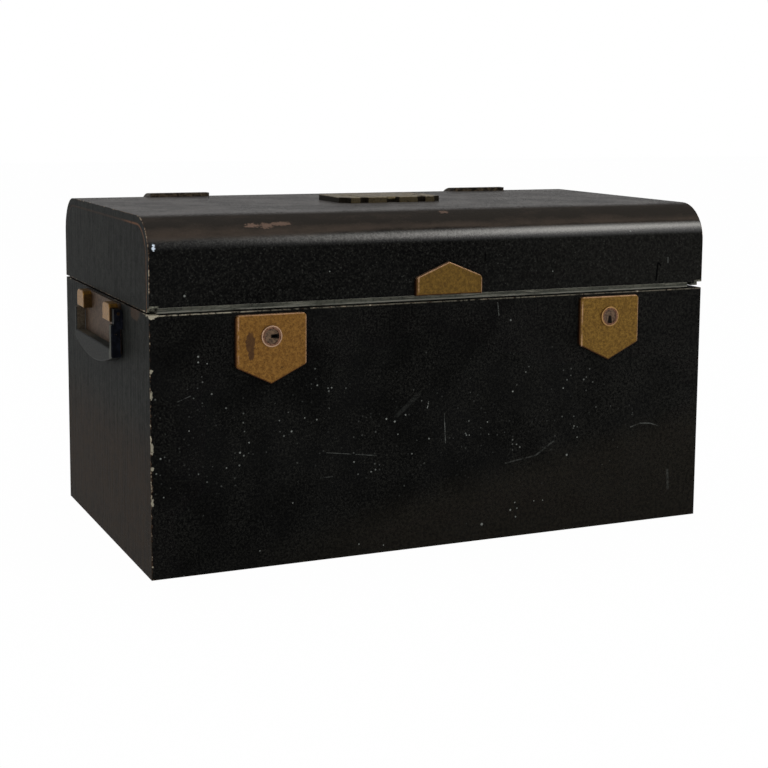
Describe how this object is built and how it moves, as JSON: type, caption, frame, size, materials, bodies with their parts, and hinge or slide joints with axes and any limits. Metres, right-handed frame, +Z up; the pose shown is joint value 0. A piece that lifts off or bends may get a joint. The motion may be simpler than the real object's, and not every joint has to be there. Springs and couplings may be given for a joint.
{
  "type": "deed box",
  "caption": "Black painted wooden deed box with a round-shouldered hinged lid, a shield-plated lock at each side of the front, drop handles on the ends and a folding handle on the lid.",
  "frame": {"origin": "middle of the box's underside", "axes": "+Z up, the front with the locks faces -Y, +X to the right seen from the front"},
  "size_m": [0.4756, 0.2673, 0.2588],
  "materials": {
    "black_enamel": "black enamel",
    "black_paint": "black paint on wood, worn",
    "brass": "aged brass",
    "brass_fixings": "dull brass",
    "dark_brass": "darkened brass",
    "dull_brass": "brown oxidised brass",
    "liner_paint": "grey-green paint on wood",
    "lining_paper": "dark red lining cloth",
    "lock_steel": "dull steel",
    "ring_metal": "bright worn nickel over copper",
    "worn_brass": "pale worn brass"
  },
  "bodies": {
    "case": {"back_liner": "liner_paint", "base_back": "black_paint", "base_floor": "black_paint", "base_front": "black_paint", "base_hinge_screws": "brass_fixings", "base_left_end": "black_paint", "base_right_end": "black_paint", "floor_lining": "lining_paper", "front_liner": "liner_paint", "left_handle_lugs": "brass", "left_handle_pins": "brass_fixings", "left_handle_plate": "dull_brass", "left_hinge_base_leaf": "dark_brass", "left_hinge_pin": "brass_fixings", "left_liner": "liner_paint", "left_lock_barrel": "ring_metal", "left_lock_case": "lock_steel", "left_lock_plate": "brass", "right_handle_lugs": "brass", "right_handle_pins": "brass_fixings", "right_handle_plate": "dull_brass", "right_hinge_base_leaf": "dark_brass", "right_hinge_pin": "brass_fixings", "right_liner": "liner_paint", "right_lock_barrel": "ring_metal", "right_lock_case": "lock_steel", "right_lock_plate": "brass"},
    "left_bail": {"left_handle_bail": "black_enamel"},
    "lid": {"left_hinge_lid_strap": "dark_brass", "left_strike": "lock_steel", "lid_hinge_screws": "brass_fixings", "lid_left_end": "black_paint", "lid_lining": "lining_paper", "lid_right_end": "black_paint", "lid_shell": "black_paint", "lift_tab": "brass", "right_hinge_lid_strap": "dark_brass", "right_strike": "lock_steel", "strike_screws": "brass_fixings", "top_handle_pins": "brass_fixings", "top_handle_plate": "worn_brass", "top_handle_posts": "worn_brass", "top_handle_screws": "brass_fixings"},
    "left_bolt": {"left_lock_bolt": "lock_steel"},
    "left_plug": {"left_lock_plug": "lock_steel"},
    "right_bail": {"right_handle_bail": "black_enamel"},
    "right_bolt": {"right_lock_bolt": "lock_steel"},
    "right_plug": {"right_lock_plug": "lock_steel"},
    "top_bail": {"top_handle_bail": "worn_brass"}
  },
  "joints": [
    {"name": "lid_hinge", "type": "hinge", "parent": "case", "child": "lid", "pos_m": [0, 0.1317, 0.1882], "axis": [-1, 0, 0], "range_deg": [0, 105]},
    {"name": "top_handle_swing", "type": "hinge", "parent": "lid", "child": "top_bail", "pos_m": [0, 0.006, 0.25745], "axis": [-1, 0, 0], "range_deg": [0, 100]},
    {"name": "left_handle_swing", "type": "hinge", "parent": "case", "child": "left_bail", "pos_m": [-0.2322, 0, 0.18], "axis": [0, 1, 0], "range_deg": [0, 90]},
    {"name": "right_handle_swing", "type": "hinge", "parent": "case", "child": "right_bail", "pos_m": [0.2322, 0, 0.18], "axis": [0, -1, 0], "range_deg": [0, 90]},
    {"name": "left_lock_turn", "type": "hinge", "parent": "case", "child": "left_plug", "pos_m": [-0.1404, -0.1275, 0.1689], "axis": [0, 1, 0], "range_deg": [0, 90]},
    {"name": "left_bolt_throw", "type": "slide", "parent": "case", "child": "left_bolt", "axis": [1, 0, 0], "range_m": [0, 0.006]},
    {"name": "right_lock_turn", "type": "hinge", "parent": "case", "child": "right_plug", "pos_m": [0.1404, -0.1275, 0.1689], "axis": [0, 1, 0], "range_deg": [0, 90]},
    {"name": "right_bolt_throw", "type": "slide", "parent": "case", "child": "right_bolt", "axis": [1, 0, 0], "range_m": [0, 0.006]}
  ],
  "couplings": [
    {"joint": "left_bolt_throw", "follows": "left_lock_turn", "m_per_rad": 0.003819},
    {"joint": "right_bolt_throw", "follows": "right_lock_turn", "m_per_rad": 0.003819}
  ]
}
